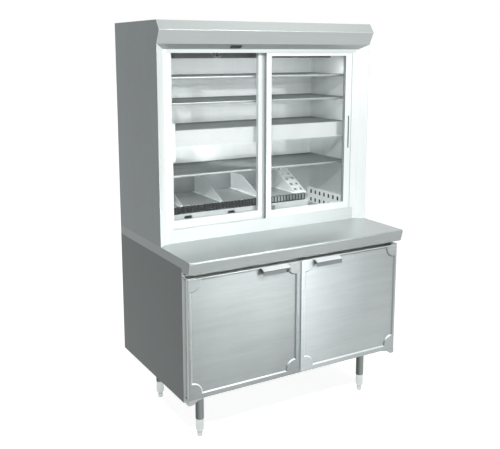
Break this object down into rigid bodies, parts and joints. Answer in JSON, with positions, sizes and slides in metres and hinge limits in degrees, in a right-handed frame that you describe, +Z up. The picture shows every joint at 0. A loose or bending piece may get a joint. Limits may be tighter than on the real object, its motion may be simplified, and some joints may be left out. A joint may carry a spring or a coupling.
{
  "type": "refrigerated display case",
  "caption": "Free-standing stainless refrigerated display case with sliding glass doors above a work counter and a hinged-door base cabinet on legs.",
  "frame": {"origin": "on the floor, under the middle of the object's outer box", "axes": "+X to the right seen from the front, +Y from the front to the back, +Z up"},
  "size_m": [1.2192, 0.831, 1.968],
  "materials": {
    "stainless_panel": "satin",
    "stainless_door": "satin",
    "stainless_counter": "satin",
    "stainless_liner": "polished",
    "bright_frame": "satin",
    "pane": "clear",
    "gasket": "matte",
    "door_liner": "satin",
    "hinge_metal": "satin",
    "galvanised": "satin",
    "leg_tube": "satin",
    "leg_foot": "bright",
    "shelf_wire": "bright",
    "rack_wire": "satin",
    "bin_steel": "satin",
    "perforated_steel": "satin",
    "valance_white": "satin",
    "lamp_tube": "frosted",
    "lamp_holder": "satin",
    "switch_black": "gloss",
    "fan_plastic": "matte",
    "coil_aluminium": "satin",
    "stub_copper": "satin"
  },
  "bodies": {
    "cabinet": {"base_side_left": "stainless_panel", "base_side_right": "stainless_panel", "base_back": "galvanised", "base_floor": "stainless_liner", "base_front_frame": "stainless_panel", "counter_top": "stainless_counter", "hinges_left": "hinge_metal", "hinges_right": "hinge_metal", "leg_rails": "galvanised", "legs": "leg_tube", "side_upper_left": "stainless_panel", "side_upper_right": "stainless_panel", "wall_left": "stainless_liner", "wall_right": "stainless_liner", "back_panel": "stainless_liner", "roof": "galvanised", "display_floor": "stainless_liner", "canopy": "stainless_counter", "switch_plate": "switch_black", "jamb_left": "bright_frame", "jamb_right": "bright_frame", "head_track": "bright_frame", "sill_track": "bright_frame", "shelf_1": "shelf_wire", "shelf_2": "shelf_wire", "shelf_3": "shelf_wire", "shelf_4": "shelf_wire", "base_shelf": "shelf_wire", "shelf_clips": "hinge_metal", "valance": "valance_white", "lamps": "lamp_tube", "lamp_holders": "lamp_holder", "evap_housing": "galvanised", "evap_coil": "coil_aluminium", "bottom_rack": "rack_wire", "rack_rails": "valance_white", "bin_tray": "bin_steel", "bin_dividers": "perforated_steel", "chute_plate": "perforated_steel", "duct_strips": "perforated_steel", "service_stubs": "stub_copper"},
    "door_left_leaf": {"door_left": "stainless_door", "door_left_liner": "door_liner", "door_left_gasket": "gasket", "handle_left": "stainless_door"},
    "door_right_leaf": {"door_right": "stainless_door", "door_right_liner": "door_liner", "door_right_gasket": "gasket", "handle_right": "stainless_door"},
    "slider_front": {"slider_front_frame": "bright_frame", "slider_front_glass": "pane"},
    "slider_rear": {"slider_rear_frame": "bright_frame", "slider_rear_glass": "pane"},
    "fan_left_rotor": {"fan_left": "fan_plastic"},
    "fan_right_rotor": {"fan_right": "fan_plastic"},
    "foot_fl": {"foot_front_left": "leg_foot"},
    "foot_fr": {"foot_front_right": "leg_foot"},
    "foot_bl": {"foot_back_left": "leg_foot"},
    "foot_br": {"foot_back_right": "leg_foot"},
    "switch_key": {"switch_rocker": "switch_black"}
  },
  "joints": [
    {"name": "door_left_hinge", "type": "hinge", "parent": "cabinet", "child": "door_left_leaf", "pos_m": [-0.592, -0.3715, 0.55], "axis": [0, 0, -1], "range_deg": [0, 110]},
    {"name": "door_right_hinge", "type": "hinge", "parent": "cabinet", "child": "door_right_leaf", "pos_m": [0.592, -0.3715, 0.55], "axis": [0, 0, 1], "range_deg": [0, 110]},
    {"name": "slider_front_slide", "type": "slide", "parent": "cabinet", "child": "slider_front", "axis": [-1, 0, 0], "range_m": [0, 0.48]},
    {"name": "slider_rear_slide", "type": "slide", "parent": "cabinet", "child": "slider_rear", "axis": [1, 0, 0], "range_m": [0, 0.48]},
    {"name": "fan_left_spin", "type": "hinge", "parent": "cabinet", "child": "fan_left_rotor", "pos_m": [-0.23, 0.0455, 1.8365], "axis": [0, 1, 0], "continuous": true},
    {"name": "fan_right_spin", "type": "hinge", "parent": "cabinet", "child": "fan_right_rotor", "pos_m": [0.23, 0.0455, 1.8365], "axis": [0, 1, 0], "continuous": true},
    {"name": "switch_rock", "type": "hinge", "parent": "cabinet", "child": "switch_key", "pos_m": [-0.192, -0.0895, 1.85], "axis": [0, 0.817, -0.5767], "range_deg": [-7, 7]},
    {"name": "foot_fl_screw", "type": "slide", "parent": "cabinet", "child": "foot_fl", "axis": [0, 0, -1], "range_m": [0, 0.02]},
    {"name": "foot_fr_screw", "type": "slide", "parent": "cabinet", "child": "foot_fr", "axis": [0, 0, -1], "range_m": [0, 0.02]},
    {"name": "foot_bl_screw", "type": "slide", "parent": "cabinet", "child": "foot_bl", "axis": [0, 0, -1], "range_m": [0, 0.02]},
    {"name": "foot_br_screw", "type": "slide", "parent": "cabinet", "child": "foot_br", "axis": [0, 0, -1], "range_m": [0, 0.02]}
  ]
}
